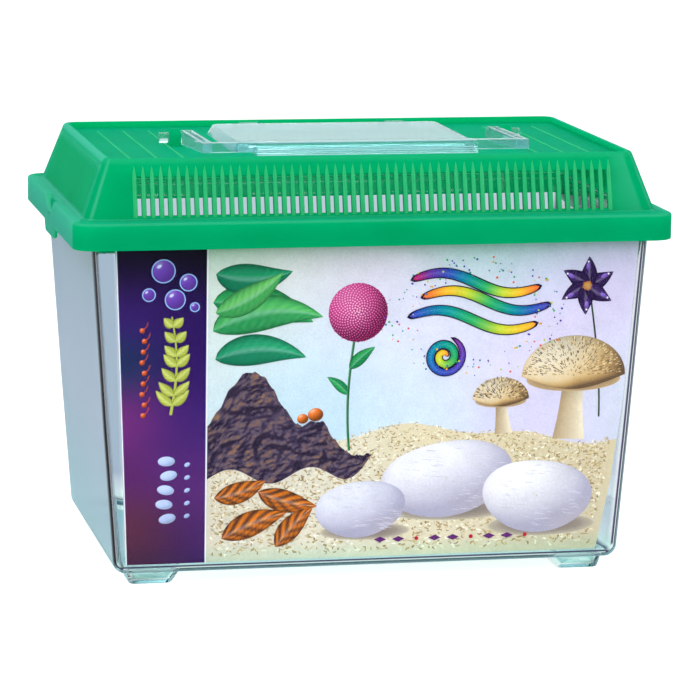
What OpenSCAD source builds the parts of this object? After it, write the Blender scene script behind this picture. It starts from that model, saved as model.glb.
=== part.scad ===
// Plastic pet keeper: a clear drafted tank with a card behind its front wall,
// a slotted lid that snaps over its flange, a hinged feeding hatch in the lid and a folding carry handle.
// Millimetres, +Z up. X runs along the front, the front faces -Y, and the feet stand on z = 0.

/* [Tank] */
// Height of the tank from the table to its top rim
tank_h = 139.8; // [110:0.1:180]
// Distance from the lid's rim in to the tank's top at the two ends
tank_end_margin = 7.2; // [6.9:0.1:9]
// Distance from the lid's rim in to the tank's top at front and back
tank_side_margin = 8.1; // [6.9:0.1:10]
// How far each end of the tank leans in on its way down
tank_end_draft = 9.2; // [4:0.1:14]
// How far the front and the back of the tank lean in on their way down
tank_side_draft = 3.4; // [2:0.1:8]
// Thickness of the tank walls
tank_wall = 2.0; // [1.2:0.1:2.8]
// Thickness of the tank floor
tank_floor = 2.2; // [1.4:0.1:3.5]
// Outer radius of the tank's upright corners and of its bottom edge
tank_corner_r = 5.0; // [4:0.1:8]
// Thickness of the flange round the top of the tank
flange_t = 2.2; // [1.5:0.1:3]
// Depth of the lip that hangs from the edge of the flange
flange_lip_h = 5.0; // [3:0.1:7]
// Thickness of the lip that hangs from the edge of the flange
flange_lip_t = 1.6; // [1.2:0.1:2.4]

/* [Feet] */
// Height of the four feet
foot_h = 4.9; // [3:0.1:8]
// Length of a foot where it meets the tank
foot_l = 20.9; // [16:0.1:30]
// Width of a foot where it meets the tank
foot_w = 19.0; // [12:0.1:24]
// How far the sides of a foot lean in on their way down
foot_taper = 2.2; // [0.5:0.1:4]
// Distance from the tank's outer face to a foot
foot_inset = 5.4; // [2:0.1:8]
// Corner radius of a foot
foot_r = 2.6; // [1.5:0.1:4]

/* [Lid rim] */
// Outside length of the lid's rim, the longest size of the keeper
rim_l = 231.8; // [229:0.1:245]
// Outside width of the lid's rim
rim_w = 152.4; // [149:0.1:165]
// Corner radius of the lid's rim
rim_r = 8.0; // [6:0.1:12]
// Height of the lid's upright rim
rim_h = 10.3; // [9:0.1:14]
// Wall thickness of the lid
lid_wall = 1.8; // [1.2:0.1:2.2]
// Gap between the tank's flange and the underside of the lid's ledge
seat_gap = 0.3; // [0.1:0.05:0.8]
// Gap all round between the tank's flange and the inside of the rim
rim_gap = 0.5; // [0.3:0.05:0.9]

/* [Lid roof] */
// Height of the sloping roof above the ledge
roof_h = 22.4; // [19:0.1:32]
// Width of the ledge between the rim and the roof at the two ends
ledge_end = 5.1; // [4:0.1:8]
// Width of the ledge between the rim and the roof at front and back
ledge_side = 7.7; // [6:0.1:9]
// How far each end of the roof leans in on its way up
end_lean = 8.3; // [4:0.1:14]
// How far the front and the back of the roof lean in on their way up
side_lean = 6.4; // [3:0.1:10]
// Corner radius of the roof
roof_r = 7.0; // [5:0.1:9]
// Width of the raised lip round the flat top
lip_w = 2.3; // [1.6:0.1:4]
// Depth of the flat top below its lip
field_drop = 2.6; // [1.6:0.1:3.4]
// Distance between the fine ribs on the flat top
rib_pitch = 10.3; // [8:0.1:11]
// Width of a fine rib
rib_w = 0.8; // [0.5:0.1:1.4]
// Height of a fine rib
rib_h = 0.6; // [0.3:0.1:1]

/* [Lid slots] */
// Distance between the middles of neighbouring air slots
slot_pitch = 3.34; // [3.2:0.01:6]
// Width of an air slot
slot_w = 1.7; // [1:0.05:2.2]
// Height of the air slots' lower end above the ledge
slot_low = 1.4; // [1:0.1:4]
// Distance from the top of the lip down to the air slots' upper end
slot_top_drop = 6.4; // [6:0.1:10]
// Plain stretch at each end of the front and back rows of slots
side_plain = 11.3; // [8.5:0.1:40]
// Plain stretch at each end of the rows in the two ends of the roof
end_plain = 11.0; // [9:0.1:30]

/* [Latches] */
// Width of a latch tongue where it leaves the rim
tongue_w = 28.0; // [20:0.5:36]
// Drop of a latch tongue below the rim
tongue_drop = 4.3; // [3:0.1:8]
// How far the sides of a latch tongue lean in
tongue_taper = 3.0; // [1:0.1:6]
// Width of the thumb scoop above a latch tongue
scoop_w = 25.0; // [16:0.5:30]
// Depth of the thumb scoop, down from the ledge
scoop_deep = 4.9; // [3:0.1:5.5]
// How far the thumb scoop goes into the rim
scoop_in = 2.7; // [1.5:0.1:2.8]
// Free space round a latch where the tank's flange is notched
latch_gap = 1.2; // [0.6:0.1:2]

/* [Hatch] */
// Length of the hatch's flat top, along X
hatch_l = 92.0; // [70:0.5:96]
// Width of the hatch's flat top, along Y
hatch_w = 59.5; // [45:0.5:62]
// Distance from the hatch's middle to the keeper's middle, towards the back
hatch_back = 3.8; // [2:0.1:6]
// Height of the hatch
hatch_h = 4.1; // [3.6:0.1:6]
// Wall thickness of the hatch
hatch_wall = 1.5; // [1:0.1:1.8]
// How far the sides of the hatch lean out on their way down
hatch_lean = 2.2; // [1:0.1:3]
// Corner radius of the hatch
hatch_r = 3.0; // [2.5:0.1:5]
// Gap between the hatch and the flat top that it lies on
hatch_seat = 0.2; // [0.1:0.05:0.5]
// Margin of the lid that the hatch covers on each side of its opening
hatch_cover = 4.5; // [3.6:0.1:10]
// How far the thumb lip stands out of the hatch's front
thumb_out = 3.2; // [2:0.1:5]
// Length of the thumb lip, along X
thumb_l = 85.0; // [30:0.5:88]
// Radius of the hatch's hinge pins
hatch_pin_r = 1.3; // [1:0.05:1.5]
// Distance from the keeper's middle to each hatch hinge
hatch_hinge_x = 30.0; // [15:0.5:38]

/* [Handle] */
// Distance from each arm of the handle to the side of the hatch
handle_side_gap = 11.3; // [4:0.1:11.4]
// Distance from the front of the handle's bar to the lip round the flat top
handle_lip_gap = 9.8; // [6:0.1:14]
// Thickness of an arm, along X
arm_t = 4.3; // [3:0.1:6]
// Height of an arm at its pivot
arm_root_h = 5.6; // [5:0.1:6]
// Height of the arms and the bar at the front
bar_h = 3.7; // [2.6:0.1:4.2]
// Width of the bar, along Y
bar_w = 5.5; // [4:0.1:8]
// Length of the thicker grip in the middle of the bar
grip_l = 86.0; // [60:0.5:96]
// Width of the grip
grip_w = 10.0; // [8:0.1:11.5]
// Height of the grip
grip_h = 4.9; // [4:0.1:6]
// Angle at which the folded handle stays raised over the flat top
handle_tilt = 2.0; // [1:0.1:4]
// Height of the pivots above the flat top
pivot_up = 3.0; // [2.9:0.1:4]
// Radius of the handle's pins
pin_r = 2.1; // [1.5:0.05:2.4]
// Radial clearance of every hinge pin in its hole
pin_gap = 0.08; // [0.03:0.01:0.1]
// Gap between a moving piece and the ear or lug beside it
side_gap = 0.5; // [0.3:0.05:0.8]
// Thickness of an ear
ear_t = 4.4; // [3:0.1:5]
// Radius of an ear's round top
ear_r = 3.6; // [3.2:0.1:4.5]
// How far a handle pin stands out of its ear
pin_out = 3.4; // [1:0.1:4]

/* [Card] */
// Distance from the card's upright edges to the tank's outer faces
card_end_gap = 7.0; // [6.8:0.1:20]
// Distance from the card's upper edge to the tank's top rim
card_top_gap = 8.4; // [8:0.1:20]
// Thickness of the card
card_t = 0.4; // [0.3:0.05:0.8]
// Gap between the card and the tank's wall and floor
card_gap = 0.3; // [0.2:0.05:0.5]
// Sideways shift of the card's lower edge towards -X, and of its upper edge towards +X
card_shift = 2.4; // [0:0.1:2.4]
// How far the card's right edge bows out between its corners
card_bow = 2.6; // [0:0.1:2.6]

/* [Hidden] */
$fn = 48;
soft_fn = 32;
eps = 0.01;
over = 1;

// The tank stands under the lid's rim and narrows towards its feet
tank_top_l = rim_l - 2 * tank_end_margin;
tank_top_w = rim_w - 2 * tank_side_margin;
tank_base_l = tank_top_l - 2 * tank_end_draft;
tank_base_w = tank_top_w - 2 * tank_side_draft;

// Heights of the main levels
ledge_z = tank_h + seat_gap + lid_wall;
rim_z = ledge_z - rim_h;
roof_z = ledge_z + roof_h;
field_z = roof_z - field_drop;
ceiling_z = field_z - lid_wall;

// Roof outlines at the ledge and at the top
roof_base_l = rim_l - 2 * ledge_end;
roof_base_w = rim_w - 2 * ledge_side;
roof_top_l = roof_base_l - 2 * end_lean;
roof_top_w = roof_base_w - 2 * side_lean;
field_l = roof_top_l - 2 * lip_w;
field_w = roof_top_w - 2 * lip_w;
top_r = roof_r - 1.5;
field_r = top_r - lip_w / 2;

// Share of the roof's lean that is left at the ceiling's height
ceiling_share = (roof_z - ceiling_z) / roof_h;

// Air slots
slot_z0 = ledge_z + slot_low;
slot_z1 = roof_z - slot_top_drop;
side_slots = 1 + floor((roof_top_l - 2 * side_plain - slot_w) / slot_pitch);
end_slots = 1 + floor((roof_top_w - 2 * end_plain - slot_w) / slot_pitch);

// Tank's flange and its notches for the latches
flange_l = rim_l - 2 * (lid_wall + rim_gap);
flange_w = rim_w - 2 * (lid_wall + rim_gap);
flange_r = rim_r - lid_wall - rim_gap;
lip_z = tank_h - flange_t - flange_lip_h;
latch_block_z = ledge_z - scoop_deep - lid_wall;
latch_in = scoop_in + lid_wall;
notch_l = latch_in + latch_gap;
notch_w = tongue_w + 2 * latch_gap;
scoop_r = (scoop_w * scoop_w / 4 + scoop_deep * scoop_deep) / (2 * scoop_deep);

// Hatch
hatch_z0 = field_z + hatch_seat;
hatch_rear = hatch_back + hatch_w / 2 + hatch_lean;
hatch_front = hatch_back - hatch_w / 2 - hatch_lean;
lug_r = hatch_pin_r + 1.1;
hinge_y = hatch_rear + lug_r + 0.7;
hinge_z = field_z + lug_r + 0.1;
knuckle_l = 7.4;
lug_t = 2.2;
opening_l = hatch_l + 2 * hatch_lean - 2 * hatch_cover;
opening_w = hatch_w + 2 * hatch_lean - 2 * hatch_cover;

// Handle
pivot_z = field_z + pivot_up;
arm_x = hatch_l / 2 + hatch_lean + handle_side_gap + arm_t;
handle_reach = field_w / 2 - handle_lip_gap;
ear_x = arm_x + side_gap;
pin_end_x = ear_x + ear_t + pin_out;
rib_x0 = ear_x + ear_t + rib_w;
rib_count = 1 + floor((field_l / 2 - rib_x0 - rib_pitch / 2) / rib_pitch);
rib_back_gap = rib_pitch + lip_w;

// Card: its foot stands on the round inside edge of the floor
inner_r = tank_corner_r - tank_wall;
card_bite = inner_r - card_gap;
card_lift = inner_r - sqrt(inner_r * inner_r - card_bite * card_bite) + card_gap / 2;
card_z0 = foot_h + tank_floor + card_lift;
card_h = tank_h - card_top_gap - card_z0;
card_base_l = tank_base_l - 2 * card_end_gap;
card_top_l = tank_top_l - 2 * card_end_gap;
card_base_x = card_base_l / 2 - card_shift;
card_top_x = card_top_l / 2 + card_shift;
// Shares of the card's height, and of its bow at that height
card_bow_at = [[0.22, 0.85], [0.47, 1], [0.65, 0.75], [0.88, 0.2]];
wall_rise = tank_h - foot_h;
front_lean = atan((tank_top_w - tank_base_w) / 2 / wall_rise);

// Flat rounded rectangle, centred
module rounded_rect(l, w, r) {
    square([l - 2 * r, w], center = true);
    square([l, w - 2 * r], center = true);
    for (sx = [-1, 1], sy = [-1, 1])
        translate([sx * (l / 2 - r), sy * (w / 2 - r)])
            circle(r);
}

// Straight prism with rounded corners
module rounded_block(l, w, r, z0, z1) {
    translate([0, 0, z0])
        linear_extrude(z1 - z0)
            rounded_rect(l, w, r);
}

// Drafted prism: one rounded outline blended into another
module drafted_block(l0, w0, r0, z0, l1, w1, r1, z1) {
    hull() {
        translate([0, 0, z0])
            linear_extrude(eps)
                rounded_rect(l0, w0, r0, $fn = soft_fn);
        translate([0, 0, z1 - eps])
            linear_extrude(eps)
                rounded_rect(l1, w1, r1, $fn = soft_fn);
    }
}

// Drafted tub shape with a rounded bottom edge
module tub_block(l0, w0, r, z0, l1, w1, z1) {
    hull() {
        for (sx = [-1, 1], sy = [-1, 1]) {
            translate([sx * (l0 / 2 - r), sy * (w0 / 2 - r), z0 + r])
                sphere(r, $fn = soft_fn);
            translate([sx * (l1 / 2 - r), sy * (w1 / 2 - r), z1 - eps])
                cylinder(h = eps, r = r, $fn = soft_fn);
        }
    }
}

// One foot, standing under the corner at +X +Y
module foot() {
    cx = tank_base_l / 2 - foot_inset - foot_l / 2;
    cy = tank_base_w / 2 - foot_inset - foot_w / 2;
    low_l = foot_l - 2 * foot_taper;
    low_w = foot_w - 2 * foot_taper;
    translate([cx, cy, 0])
        drafted_block(low_l, low_w, foot_r, 0, foot_l, foot_w, foot_r, foot_h + tank_floor / 2);
}

// The flange round the tank's top and the lip under its edge
module tank_flange() {
    difference() {
        rounded_block(flange_l, flange_w, flange_r, lip_z, tank_h);
        rounded_block(tank_top_l - tank_wall, tank_top_w - tank_wall, inner_r,
            lip_z - over, tank_h + over);
        rounded_block(flange_l - 2 * flange_lip_t, flange_w - 2 * flange_lip_t,
            flange_r - flange_lip_t, lip_z - over, tank_h - flange_t);
        for (sx = [-1, 1])
            translate([sx * (rim_l / 2 - notch_l / 2), 0, tank_h])
                cube([notch_l, notch_w, 2 * (tank_h - lip_z) + over], center = true);
    }
}

module tank() {
    color("lightcyan", 0.5) {
        difference() {
            tub_block(tank_base_l, tank_base_w, tank_corner_r, foot_h, tank_top_l, tank_top_w, tank_h);
            tub_block(tank_base_l - 2 * tank_wall, tank_base_w - 2 * tank_wall, inner_r,
                foot_h + tank_floor, tank_top_l - 2 * tank_wall, tank_top_w - 2 * tank_wall,
                tank_h + eps);
        }
        tank_flange();
        foot();
        mirror([1, 0, 0])
            foot();
        mirror([0, 1, 0])
            foot();
        mirror([1, 0, 0])
            mirror([0, 1, 0])
                foot();
    }
}

// The card stands behind the front wall and leans with it
module label_card() {
    inner_y = tank_base_w / 2 - tank_wall - card_gap;
    color("plum")
        translate([0, -inner_y, card_z0])
            rotate([90 + front_lean, 0, 0])
                translate([0, 0, -card_t])
                    linear_extrude(card_t)
                        polygon([
                            [-card_base_l / 2 - card_shift, 0],
                            [card_base_x, 0],
                            for (p = card_bow_at) [
                                card_base_x + (card_top_x - card_base_x) * p[0] + card_bow * p[1],
                                card_h * p[0]
                            ],
                            [card_top_x, card_h],
                            [-card_top_l / 2 + card_shift, card_h]
                        ]);
}

// A row of upright slots along X, cutting the wall that faces -Y
module slot_row(count, wall_y, reach) {
    for (i = [0 : count - 1])
        translate([(i - (count - 1) / 2) * slot_pitch - slot_w / 2, -wall_y - over, slot_z0])
            cube([slot_w, reach + over, slot_z1 - slot_z0]);
}

module lid_slots() {
    side_reach = side_lean + 3 * lid_wall;
    end_reach = end_lean + 3 * lid_wall;
    for (a = [0, 180])
        rotate(a)
            slot_row(side_slots, roof_base_w / 2, side_reach);
    for (a = [90, 270])
        rotate(a)
            slot_row(end_slots, roof_base_l / 2, end_reach);
}

// The sloping roof as a shell, with its flat top sunk below a lip
module lid_roof() {
    difference() {
        drafted_block(roof_base_l, roof_base_w, roof_r, ledge_z - lid_wall,
            roof_top_l, roof_top_w, top_r, roof_z);
        drafted_block(roof_base_l - 2 * lid_wall, roof_base_w - 2 * lid_wall, roof_r - lid_wall,
            ledge_z - lid_wall - eps,
            roof_top_l - 2 * lid_wall + 2 * end_lean * ceiling_share,
            roof_top_w - 2 * lid_wall + 2 * side_lean * ceiling_share,
            top_r - lid_wall, ceiling_z);
        rounded_block(field_l, field_w, field_r, field_z, roof_z + over);
        translate([0, hatch_back, field_z])
            cube([opening_l, opening_w, 6 * lid_wall], center = true);
        lid_slots();
    }
}

// Upright rim, its ledge and the blocks behind the thumb scoops
module lid_rim() {
    difference() {
        union() {
            difference() {
                rounded_block(rim_l, rim_w, rim_r, rim_z, ledge_z);
                rounded_block(rim_l - 2 * lid_wall, rim_w - 2 * lid_wall, rim_r - lid_wall,
                    rim_z - over, ledge_z - lid_wall);
                rounded_block(roof_base_l - lid_wall, roof_base_w - lid_wall, roof_r - lid_wall / 2,
                    rim_z - over, ledge_z + over);
            }
            for (sx = [-1, 1])
                translate([sx * (rim_l / 2 - latch_in / 2), 0, (latch_block_z + ledge_z) / 2])
                    cube([latch_in, tongue_w, ledge_z - latch_block_z], center = true);
        }
        for (sx = [-1, 1])
            translate([sx * (rim_l / 2 - scoop_in / 2 + over / 2), 0, ledge_z + scoop_r - scoop_deep])
                rotate([0, 90, 0])
                    cylinder(h = scoop_in + over, r = scoop_r, center = true, $fn = 96);
    }
}

// Latch tongues under the rim's two ends
module latch_tongues() {
    low_w = tongue_w - 2 * tongue_taper;
    for (a = [90, 270])
        rotate(a)
            translate([0, -rim_l / 2 + lid_wall, 0])
                rotate([90, 0, 0])
                    linear_extrude(lid_wall)
                        polygon([
                            [-tongue_w / 2, rim_z + lid_wall],
                            [-tongue_w / 2, rim_z],
                            [-low_w / 2, rim_z - tongue_drop],
                            [low_w / 2, rim_z - tongue_drop],
                            [tongue_w / 2, rim_z],
                            [tongue_w / 2, rim_z + lid_wall]
                        ]);
}

// A bored lug with a round top, its bore along X and its middle at x = 0
module lug(t, r, up, bore_r) {
    difference() {
        union() {
            rotate([0, 90, 0])
                cylinder(h = t, r = r, center = true);
            translate([-t / 2, -r, -up - eps])
                cube([t, 2 * r, up + eps]);
        }
        rotate([0, 90, 0])
            cylinder(h = t + 2 * over, r = bore_r, center = true);
    }
}

module handle_ears() {
    for (sx = [-1, 1])
        translate([sx * (ear_x + ear_t / 2), 0, pivot_z])
            lug(ear_t, ear_r, pivot_up, pin_r + pin_gap);
}

module hatch_lugs() {
    for (sx = [-1, 1], sl = [-1, 1])
        translate([sx * hatch_hinge_x + sl * (knuckle_l / 2 + side_gap + lug_t / 2), hinge_y, hinge_z])
            lug(lug_t, lug_r, hinge_z - field_z, hatch_pin_r + pin_gap);
}

// Fine ribs on the flat top, outside the handle's ears
module top_ribs() {
    for (sx = [-1, 1], i = [0 : rib_count - 1])
        translate([sx * (rib_x0 + i * rib_pitch) - rib_w / 2, -field_w / 2 - eps, field_z - eps])
            cube([rib_w, field_w - rib_back_gap, rib_h + eps]);
}

module lid() {
    color("mediumseagreen") {
        lid_rim();
        latch_tongues();
        lid_roof();
        top_ribs();
        handle_ears();
        hatch_lugs();
    }
}

// Thin pan, open underneath, with a thumb lip in front and hinge pins behind
module window_hatch() {
    thumb_z = hatch_z0 + hatch_h / 2;
    knuckle_z = hinge_z - hatch_z0;
    color("lightblue", 0.6) {
        difference() {
            translate([0, hatch_back, 0])
                drafted_block(hatch_l + 2 * hatch_lean, hatch_w + 2 * hatch_lean, hatch_r, hatch_z0,
                    hatch_l, hatch_w, hatch_r, hatch_z0 + hatch_h);
            translate([0, hatch_back, 0])
                drafted_block(hatch_l + 2 * hatch_lean - 2 * hatch_wall,
                    hatch_w + 2 * hatch_lean - 2 * hatch_wall, hatch_r - hatch_wall / 2,
                    hatch_z0 - eps, hatch_l - 2 * hatch_wall + hatch_lean,
                    hatch_w - 2 * hatch_wall + hatch_lean, hatch_r - hatch_wall / 2,
                    hatch_z0 + hatch_h - hatch_wall);
        }
        translate([-thumb_l / 2, hatch_front - thumb_out + hatch_lean, thumb_z])
            cube([thumb_l, thumb_out, hatch_wall]);
        for (sx = [-1, 1])
            translate([sx * hatch_hinge_x, hinge_y, hinge_z]) {
                rotate([0, 90, 0])
                    cylinder(h = knuckle_l, r = lug_r - 0.2, center = true);
                rotate([0, 90, 0])
                    cylinder(h = knuckle_l + 2 * (side_gap + lug_t), r = hatch_pin_r, center = true);
                translate([-knuckle_l / 2, hatch_rear - hinge_y - hatch_wall, -hatch_wall / 2])
                    cube([knuckle_l, hinge_y - hatch_rear + hatch_wall, hatch_wall]);
            }
    }
}

// Side view of an arm, drawn along -Y from the pivot
module arm_side() {
    circle(arm_root_h / 2);
    translate([-arm_root_h / 2, -arm_root_h / 2])
        square([arm_root_h / 2, arm_root_h / 2]);
    polygon([
        [0, arm_root_h / 2],
        [-handle_reach, bar_h / 2],
        [-handle_reach, -bar_h / 2],
        [0, -arm_root_h / 2]
    ]);
}

module carry_handle() {
    grip_y = -handle_reach + bar_w / 2;
    color("paleturquoise", 0.6)
        translate([0, 0, pivot_z])
            rotate([-handle_tilt, 0, 0]) {
                for (sx = [-1, 1]) {
                    translate([sx * (arm_x - arm_t / 2) - arm_t / 2, 0, 0])
                        rotate([90, 0, 90])
                            linear_extrude(arm_t)
                                arm_side();
                    translate([sx * (arm_x - eps + pin_end_x) / 2, 0, 0])
                        rotate([0, 90, 0])
                            cylinder(h = pin_end_x - arm_x + eps, r = pin_r, center = true);
                }
                translate([-arm_x, -handle_reach, -bar_h / 2])
                    cube([2 * arm_x, bar_w, bar_h]);
                translate([-grip_l / 2, grip_y - grip_w / 2, bar_h / 2 - grip_h])
                    cube([grip_l, grip_w, grip_h]);
            }
}

tank();
label_card();
lid();
window_hatch();
carry_handle();
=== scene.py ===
"""Looks of the plastic pet keeper: camera, light, floor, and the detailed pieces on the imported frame."""
from math import atan, atan2, copysign, cos, degrees, exp, hypot, pi, radians, sin, sqrt
from random import Random

import bpy
from mathutils import Matrix, Vector, noise

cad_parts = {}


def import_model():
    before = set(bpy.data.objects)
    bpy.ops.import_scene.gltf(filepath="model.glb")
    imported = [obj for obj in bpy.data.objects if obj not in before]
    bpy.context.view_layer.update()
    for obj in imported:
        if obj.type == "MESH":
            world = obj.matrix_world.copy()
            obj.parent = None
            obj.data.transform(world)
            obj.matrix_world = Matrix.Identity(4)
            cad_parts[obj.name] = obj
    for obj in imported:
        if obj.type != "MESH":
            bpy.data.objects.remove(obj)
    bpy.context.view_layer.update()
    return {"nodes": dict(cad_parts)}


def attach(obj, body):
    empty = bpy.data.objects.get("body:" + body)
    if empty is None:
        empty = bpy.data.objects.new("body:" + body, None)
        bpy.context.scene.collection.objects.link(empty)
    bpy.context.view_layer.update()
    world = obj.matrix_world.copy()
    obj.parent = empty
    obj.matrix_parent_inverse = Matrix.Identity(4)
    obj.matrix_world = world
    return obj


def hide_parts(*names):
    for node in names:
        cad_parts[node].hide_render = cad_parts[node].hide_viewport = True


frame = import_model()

MM = 0.001
scene = bpy.context.scene

# ---- sizes, in millimetres, as in the part's source
RIM_L, RIM_W, RIM_R = 231.8, 152.4, 8
LEDGE_Z, ROOF_Z, FIELD_Z, CEIL_Z = 141.9, 164.3, 161.7, 159.9
WALL = 1.8
ROOF_L, ROOF_W, ROOF_R, TOP_R = 221.6, 137, 7, 5.5
END_LEAN, SIDE_LEAN, ROOF_H = 8.3, 6.4, 22.4
CEIL_L, CEIL_W = 204.66, 123.11
LIP_W = 2.3
PANEL_Y, PANEL_Z0, PANEL_Z1, PANEL_IN = 54, 142.7, 161.6, 0.5
SLOT_P, SLOT_W, SLOT_Z0, SLOT_Z1 = 3.34, 1.7, 143.3, 157.9
SIDE_SLOTS, END_SLOTS = 55, 31
SCOOP_R, SCOOP_DEEP, SCOOP_IN = 18.4, 4.9, 2.7
TONGUE_DROP, TONGUE_FLAT, TONGUE_END = 4.3, 10.88, 14.21
RIB_X, RIB_P, RIB_Y0, RIB_Y1 = 69.5, 10.3, -59.9, 47.2
OPEN_L, OPEN_W = 87.4, 54.9
HATCH_L, HATCH_W, HATCH_H, HATCH_Y, HATCH_LEAN = 96.4, 63.9, 4.3, 3.8, 4.4
THUMB_X, THUMB_Y0, THUMB_Y1, THUMB_UP = 42.5, -29.15, -25.55, 2.25
HINGE_Y, HINGE_Z, HINGE_X = 38.85, 164.2, 30
PIVOT_Z, ARM_X, ARM_T, PIN_END, REACH = 164.7, 63.8, 4.3, 72.6, 50
TANK_H, TANK_FOOT, TANK_WALL, TANK_FLOOR = 139.8, 4.9, 2, 2.2
BASE_L, BASE_W, GROW_L, GROW_W = 199, 129.4, 18.4, 6.8
FLANGE_L, FLANGE_W = 227.2, 147.8
FOOT_X0, FOOT_X1, FOOT_Y0, FOOT_Y1 = 73.2, 94.1, 40.3, 59.3


# ---- mesh helpers
def ring(l, w, r, z, xs=(), ys=(), seg=6, cy=0):
    """A rounded rectangle's points, anticlockwise from above, with extra points on its sides."""
    r = max(r, 0.05)
    hx, hy = l / 2 - r, w / 2 - r
    pts = []

    def arc(cx, cyy, a0):
        for i in range(1, seg):
            a = radians(a0 + 90 * i / seg)
            pts.append((cx + r * cos(a), cyy + r * sin(a), z))

    pts += [(x, -w / 2, z) for x in (-hx, *xs, hx)]
    arc(hx, -hy, -90)
    pts += [(l / 2, y, z) for y in (-hy, *ys, hy)]
    arc(hx, hy, 0)
    pts += [(x, w / 2, z) for x in (hx, *reversed(xs), -hx)]
    arc(-hx, hy, 90)
    pts += [(-l / 2, y, z) for y in (hy, *reversed(ys), -hy)]
    arc(-hx, -hy, 180)
    return [(x, y + cy, zz) for x, y, zz in pts]


def loft(rings, cyclic=False, skip=lambda i, j: False, caps=False):
    """Points and faces of a skin over rings of equal length. caps closes its two ends."""
    n = len(rings[0])
    verts = [p for r in rings for p in r]
    faces = []
    for i in range(len(rings) - (not cyclic)):
        k = (i + 1) % len(rings)
        for j in range(n):
            if not skip(i, j):
                m = (j + 1) % n
                faces.append((i * n + j, i * n + m, k * n + m, k * n + j))
    if caps:
        faces += [tuple(range(n - 1, -1, -1)), tuple(range(len(verts) - n, len(verts)))]
    return verts, faces


def soften(me, smooth):
    """Smooth shading. Edges above the angle stay sharp."""
    for p in me.polygons:
        p.use_smooth = True
    me.set_sharp_from_angle(angle=radians(smooth))


def new_object(name, data):
    ob = bpy.data.objects.new(name, data)
    scene.collection.objects.link(ob)
    return ob


def make(name, verts, faces, mats, smooth=35, face_mats=()):
    """A mesh object from millimetre points."""
    me = bpy.data.meshes.new(name)
    me.from_pydata([(x * MM, y * MM, z * MM) for x, y, z in verts], [], faces)
    me.validate()
    ob = new_object(name, me)
    for m in mats:
        me.materials.append(m)
    for p, k in zip(me.polygons, face_mats):
        p.material_index = k
    if smooth:
        soften(me, smooth)
    return ob


def bevel(ob, width, angle=40):
    m = ob.modifiers.new("edges", "BEVEL")
    m.width = width * MM
    m.segments = 2
    m.limit_method = "ANGLE"
    m.angle_limit = radians(angle)


def union(base, others, smooth, operation="UNION"):
    """Merges closed pieces into one skin, or cuts them out of it."""
    for o in others:
        m = base.modifiers.new("join", "BOOLEAN")
        m.operation = operation
        m.solver = "EXACT"
        m.object = o
    me = bpy.data.meshes.new_from_object(base.evaluated_get(bpy.context.evaluated_depsgraph_get()))
    old = base.data
    base.modifiers.clear()
    base.data = me
    me.name = base.name
    bpy.data.meshes.remove(old)
    soften(me, smooth)
    for o in others:
        bpy.data.objects.remove(o)
    return base


def store_painted_light(ob, values):
    """Stores how much painted light each point takes: paler painted highlight on the lid, darker painted shade on the
    tank. Returns the object.
    """
    at = ob.data.attributes.new("edge", "FLOAT", "POINT")
    at.data.foreach_set("value", values)
    return ob


class Builder:
    """Collects closed solids in one mesh."""

    def __init__(self):
        self.verts, self.faces = [], []

    def add(self, verts, faces):
        n = len(self.verts)
        self.verts += verts
        self.faces += [tuple(n + i for i in f) for f in faces]

    def box(self, lo, hi):
        (a, b, c), (d, e, f) = lo, hi
        self.add([(a, b, c), (d, b, c), (d, e, c), (a, e, c), (a, b, f), (d, b, f), (d, e, f), (a, e, f)],
                 [(3, 2, 1, 0), (4, 5, 6, 7), (0, 1, 5, 4), (1, 2, 6, 5), (2, 3, 7, 6), (3, 0, 4, 7)])

    def prism(self, outline, place, lo, hi):
        """An outline swept between two depths. place(u, v, t) gives the point."""
        n = len(outline)
        low = [place(u, v, lo) for u, v in outline]
        high = [place(u, v, hi) for u, v in outline]
        sides = [(i, (i + 1) % n, n + (i + 1) % n, n + i) for i in range(n)]
        self.add(low + high, [tuple(range(n - 1, -1, -1)), tuple(range(n, 2 * n)), *sides])

    def make(self, name, mats, smooth=35):
        return make(name, self.verts, self.faces, mats, smooth)


def along_x(y=0, z=0):
    """Places a prism along x, its outline around a point (y, z)."""
    return lambda u, v, t: (t, y + u, z + v)


def circle(r, n):
    return [(r * cos(2 * pi * i / n), r * sin(2 * pi * i / n)) for i in range(n)]


def arch(r, up, steps=10):
    """Side outline of an ear: a half-round top on a straight foot."""
    return [(-r, -up), (r, -up)] + [(r * cos(pi * i / steps), r * sin(pi * i / steps)) for i in range(steps + 1)]


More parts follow.
